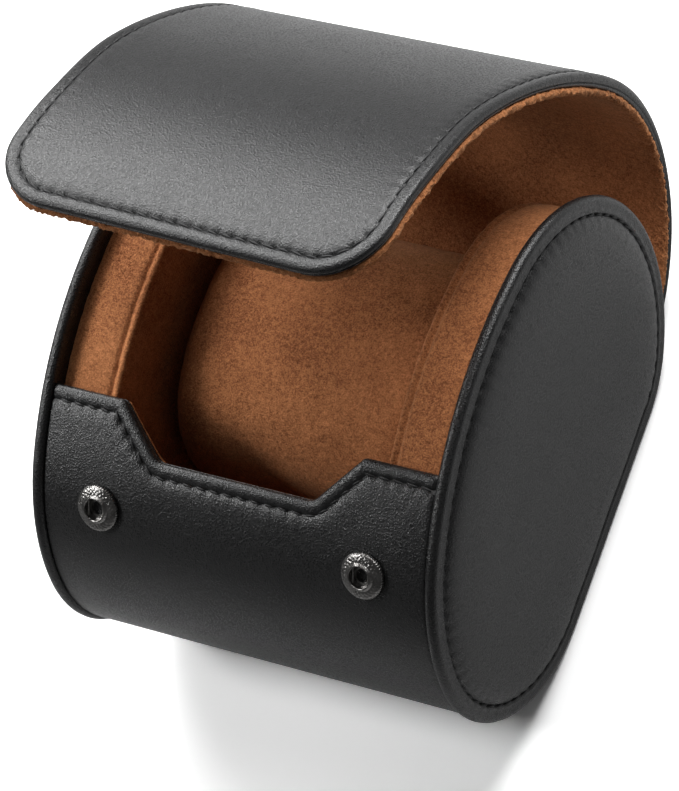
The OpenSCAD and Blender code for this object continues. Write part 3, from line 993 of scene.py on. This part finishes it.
def puff(piece):
    # the filled cover swells a little, and no point may move further than the cap
    before = [vert.co.copy() for vert in piece.data.vertices]
    makeActive(piece)
    cloth = piece.modifiers.new("Cloth", "CLOTH")
    cloth.settings.use_pressure = True
    cloth.settings.uniform_pressure_force = pillow["pressure"]
    cloth.settings.effector_weights.gravity = 0
    for number in range(1, pillow["frames"] + 1):
        bpy.context.scene.frame_set(number)
    bpy.ops.object.modifier_apply(modifier=cloth.name)
    bpy.context.scene.frame_set(1)
    for vert, old in zip(piece.data.vertices, before):
        step = vert.co - old
        if step.length > pillow["cap"]:
            vert.co = old + step.normalized() * pillow["cap"]


print("pillow")
pillowPiece()

# Snap sockets on the pocket
snap = {"x": 0.032, "angle": 128.2, "points": 270, "teeth": 54, "tooth": 0.00012, "beads": 27, "crease": 35,
        # radius and height over the leather
        "ring": ((0.0044, 0.00002), (0.00487, 0.00004), (0.00495, 0.0001), (0.00495, 0.00062),
                 (0.00488, 0.00078), (0.00474, 0.0009), (0.00452, 0.00104), (0.00432, 0.00116),
                 (0.0041, 0.00122), (0.00388, 0.0013), (0.00366, 0.00134), (0.00344, 0.00143),
                 (0.00322, 0.00145), (0.003, 0.00152), (0.00275, 0.00185), (0.00258, 0.00199),
                 (0.00242, 0.002), (0.00231, 0.00188), (0.0023, 0.0017), (0.0023, 0.00055),
                 (0.0022, 0.0005), (0.00207, 0.0005), (0.00207, 0.00002), (0.0044, 0.00002)),
        # rings of the profile that are knurled, and the height of the beads on others
        "toothed": (2, 3, 4), "beaded": {6: 0.00004, 8: -0.00009, 10: 0.00009}}


def snapRing(name):
    loops = []
    for k, (radius, height) in enumerate(snap["ring"]):
        loop = []
        for n in range(snap["points"]):
            a = 2 * math.pi * n / snap["points"]
            tooth = snap["tooth"] if k in snap["toothed"] else 0
            r = radius - tooth * (0.5 + 0.5 * math.cos(snap["teeth"] * a))
            bead = snap["beaded"].get(k, 0) * math.cos(snap["beads"] * a)
            loop.append(Vector((r * math.cos(a), r * math.sin(a), height + bead)))
        loops.append(loop)
    return ringPiece(name, loops, tube=True)


def socketPlace(side):
    place = outlinePoint(snap["angle"], case["recess"])
    out = unit(snap["angle"])
    along = Vector((1, 0, 0))
    up = Vector((0, out[0], out[1]))
    aside = up.cross(along)
    turn = Matrix((along, aside, up)).transposed().to_4x4()
    return Matrix.Translation((side * snap["x"], place[0], place[1])) @ turn


print("snaps")
for side, word in ((1, "right"), (-1, "left")):
    ring = snapRing(word + "SnapRing")
    ring.data.transform(socketPlace(side))
    faceOut(ring)
    smooth(ring, snap["crease"])
    dress(ring, "gunmetal")
    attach(ring, "case")
    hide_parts(word + "_socket")

# Camera, light and floor
camera = {
    "place": (0.52818, -0.20617, 0.90953),
    "right": (0.8382, 0.3384, -0.4277),
    "up": (-0.1974, 0.9193, 0.3405),
    "back": (0.5084, -0.2009, 0.8373),
    "lens": 153.61,
    "sensorHeight": 24,
    "clipEnd": 20,
}


def addCamera():
    data = bpy.data.cameras.new("camera")
    data.sensor_fit = "VERTICAL"
    data.sensor_height = camera["sensorHeight"]
    data.lens = camera["lens"]
    data.clip_end = camera["clipEnd"]
    eye = bpy.data.objects.new("camera", data)
    bpy.context.collection.objects.link(eye)
    turn = Matrix((camera["right"], camera["up"], camera["back"])).transposed().to_4x4()
    eye.matrix_world = Matrix.Translation(camera["place"]) @ turn
    bpy.context.scene.camera = eye


studio = {
    "softboxLeft": {"towards": (-0.6, 0.58, 0.56), "distance": 0.6, "size": (0.34, 0.42), "power": 1.85,
                    "aim": (-0.02, -0.02, 0.1), "spread": 120},
    "softboxBack": {"towards": (0.14, 0.72, 0.7), "distance": 0.85, "size": (0.45, 0.45), "power": 3.4,
                    "aim": (0.04, -0.02, 0.02), "spread": 110},
    "fillLeft": {"towards": (-0.68, -0.12, 0.72), "distance": 0.42, "size": (0.13, 0.13), "power": 0.066,
                 "aim": (-0.045, -0.045, 0.06), "spread": 36},
}
surroundings = {"world": 0.09, "backdrop": 1, "floor": (0.52, 0.52, 0.52), "floorSeen": (1.5, 1.5, 1.5),
                "floorSize": 12, "floorDrop": -0.0002}


def areaLight(name, box):
    data = bpy.data.lights.new(name, "AREA")
    data.spread = math.radians(box["spread"])
    data.shape = "RECTANGLE"
    data.size, data.size_y = box["size"]
    data.energy = box["power"]
    lamp = bpy.data.objects.new(name, data)
    bpy.context.collection.objects.link(lamp)
    aim = Vector(box["aim"])
    lamp.location = aim + Vector(box["towards"]).normalized() * box["distance"]
    lamp.rotation_euler = (aim - lamp.location).to_track_quat("-Z", "Y").to_euler()


def paleFloor():
    startClean()
    place = (0, 0, surroundings["floorDrop"])
    bpy.ops.mesh.primitive_plane_add(size=surroundings["floorSize"], location=place)
    floor = bpy.context.object
    floor.name = "floor"
    shop = Shop("paleFloor")
    seen = shop.node("ShaderNodeLightPath", {}, {}, "Is Camera Ray")
    shade = shop.mix(seen, surroundings["floor"], surroundings["floorSeen"])
    shop.set(Base_Color=shade, Roughness=0.9, Specular_IOR_Level=0.0)
    floor.data.materials.append(shop.material)


def whiteWorld():
    # soft light for the case, and a white backdrop where the camera sees past the floor
    world = bpy.data.worlds.new("studio")
    bpy.context.scene.world = world
    world.use_nodes = True
    tree = world.node_tree
    lighting = tree.nodes["Background"]
    backdrop = tree.nodes.new("ShaderNodeBackground")
    chooser = tree.nodes.new("ShaderNodeMixShader")
    rays = tree.nodes.new("ShaderNodeLightPath")
    for shade, strength in ((lighting, surroundings["world"]), (backdrop, surroundings["backdrop"])):
        shade.inputs["Color"].default_value = (1, 1, 1, 1)
        shade.inputs["Strength"].default_value = strength
    tree.links.new(rays.outputs["Is Camera Ray"], chooser.inputs[0])
    tree.links.new(lighting.outputs[0], chooser.inputs[1])
    tree.links.new(backdrop.outputs[0], chooser.inputs[2])
    tree.links.new(chooser.outputs[0], tree.nodes["World Output"].inputs["Surface"])


print("studio")
addCamera()
for name, box in studio.items():
    areaLight(name, box)
paleFloor()
whiteWorld()
bpy.context.scene.view_settings.view_transform = "Standard"

startClean()
